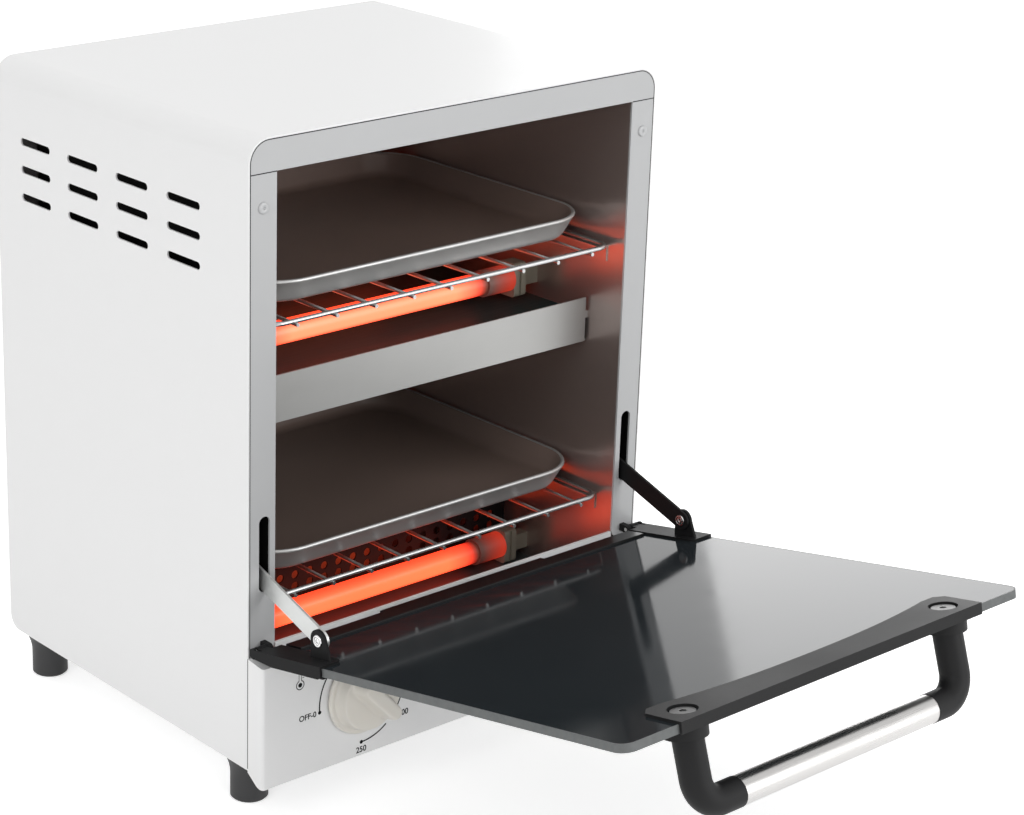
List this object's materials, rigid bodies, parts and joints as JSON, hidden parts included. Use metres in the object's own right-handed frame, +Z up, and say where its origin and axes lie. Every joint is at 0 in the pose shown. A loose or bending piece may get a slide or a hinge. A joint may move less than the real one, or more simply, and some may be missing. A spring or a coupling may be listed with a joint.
{
  "type": "dry heat sterilizer",
  "caption": "Bench-top two-tier dry heat sterilizer: a white casing on feet, wire racks with trays between radiant tubes, and a tinted glass door that folds down on sprung links.",
  "frame": {"origin": "on the bench under the middle of the footprint taken with the door open", "axes": "+Z up, +X to the right seen from the front, -Y towards the open door"},
  "size_m": [0.2656, 0.4885, 0.345],
  "materials": {
    "white_enamel": "smooth white enamel, slightly pebbled",
    "panel_plastic": "white moulding, soft gloss",
    "grey_satin": "light grey satin coat",
    "liner_steel": "bare steel sheet, warm tint from the heat",
    "bright_steel": "zinc plated",
    "chrome_wire": "bright chrome plating",
    "tray_coating": "dark grey-brown non-stick coat",
    "black_metal": "satin black powder coat",
    "black_plastic": "matte black moulding",
    "door_glass": "dark tinted mirror-like pane",
    "quartz": "frosted quartz",
    "heating_wire": "glowing resistance wire",
    "cap_metal": "dull pressed metal",
    "ceramic": "unglazed ceramic",
    "bulb_copper": "drawn copper",
    "knob_plastic": "cream moulding",
    "lamp_lens": "clear red moulding"
  },
  "bodies": {
    "casing": {"outer_shell": "white_enamel", "bottom_plate": "white_enamel", "rear_cover": "white_enamel", "control_panel": "panel_plastic", "front_band": "grey_satin", "side_post_left": "grey_satin", "side_post_right": "grey_satin", "liner_side_left": "liner_steel", "liner_side_right": "liner_steel", "liner_roof": "liner_steel", "liner_back": "liner_steel", "liner_floor": "liner_steel", "tier_shelf": "liner_steel", "rack_ledges": "liner_steel", "heater_guard": "liner_steel", "post_screws": "bright_steel", "rear_cover_screws": "bright_steel", "foot_screws": "bright_steel", "hinge_pins": "bright_steel", "door_springs": "bright_steel", "spring_anchors": "bright_steel", "timer_bell": "bright_steel", "hinge_lugs": "black_metal", "foot_front_left": "black_plastic", "foot_front_right": "black_plastic", "foot_rear_left": "black_plastic", "foot_rear_right": "black_plastic", "cord_gland": "black_plastic", "timer_body": "black_plastic", "thermostat_body": "black_plastic", "lamp_socket": "black_plastic", "terminal_block": "black_plastic", "heater_tubes_upper": "quartz", "heater_tubes_lower": "quartz", "heating_coils": "heating_wire", "heater_caps": "cap_metal", "heater_holders": "ceramic", "thermostat_bulb": "bulb_copper", "indicator_lens": "lamp_lens"},
    "door": {"door_glass": "door_glass", "hinge_rail": "black_metal", "door_bracket_left": "black_metal", "door_bracket_right": "black_metal", "link_rivets": "bright_steel", "handle_band": "black_metal", "handle_screws": "bright_steel", "handle_elbow_left": "black_plastic", "handle_elbow_right": "black_plastic", "handle_bar": "chrome_wire"},
    "link_left": {"door_link_left": "bright_steel"},
    "link_right": {"door_link_right": "black_metal"},
    "temperature_control": {"temperature_knob": "knob_plastic", "temperature_shaft": "bright_steel"},
    "timer_control": {"timer_knob": "knob_plastic", "timer_shaft": "bright_steel"},
    "upper_rack": {"rack_upper": "chrome_wire"},
    "lower_rack": {"rack_lower": "chrome_wire"},
    "upper_tray": {"tray_upper": "tray_coating"},
    "lower_tray": {"tray_lower": "tray_coating"}
  },
  "joints": [
    {"name": "door_hinge", "type": "hinge", "parent": "casing", "child": "door", "pos_m": [0, 0.01525, 0.091], "axis": [-1, 0, 0], "range_deg": [0, 78.5], "deforming": ["door_springs"]},
    {"name": "link_left_pivot", "type": "hinge", "parent": "door", "child": "link_left", "pos_m": [-0.1219, -0.02466, 0.10953], "axis": [-1, 0, 0], "range_deg": [-54.6, 0]},
    {"name": "link_right_pivot", "type": "hinge", "parent": "door", "child": "link_right", "pos_m": [0.1219, -0.02466, 0.10953], "axis": [-1, 0, 0], "range_deg": [-54.6, 0]},
    {"name": "temperature_turn", "type": "hinge", "parent": "casing", "child": "temperature_control", "pos_m": [-0.0692, 0.0076, 0.0545], "axis": [0, 1, 0], "range_deg": [-232, 46]},
    {"name": "timer_turn", "type": "hinge", "parent": "casing", "child": "timer_control", "pos_m": [0.0692, 0.0076, 0.0545], "axis": [0, 1, 0], "range_deg": [0, 300]},
    {"name": "upper_rack_slide", "type": "slide", "parent": "casing", "child": "upper_rack", "axis": [0, 1, 0], "range_m": [-0.15, 0]},
    {"name": "lower_rack_slide", "type": "slide", "parent": "casing", "child": "lower_rack", "axis": [0, 1, 0], "range_m": [-0.075, 0]},
    {"name": "upper_tray_slide", "type": "slide", "parent": "upper_rack", "child": "upper_tray", "axis": [0, 1, 0], "range_m": [-0.04, 0]},
    {"name": "lower_tray_slide", "type": "slide", "parent": "lower_rack", "child": "lower_tray", "axis": [0, 1, 0], "range_m": [-0.04, 0]}
  ],
  "couplings": [
    {"joint": "link_left_pivot", "follows": "door_hinge", "ratio": -0.6942},
    {"joint": "link_right_pivot", "follows": "door_hinge", "ratio": -0.6942}
  ]
}
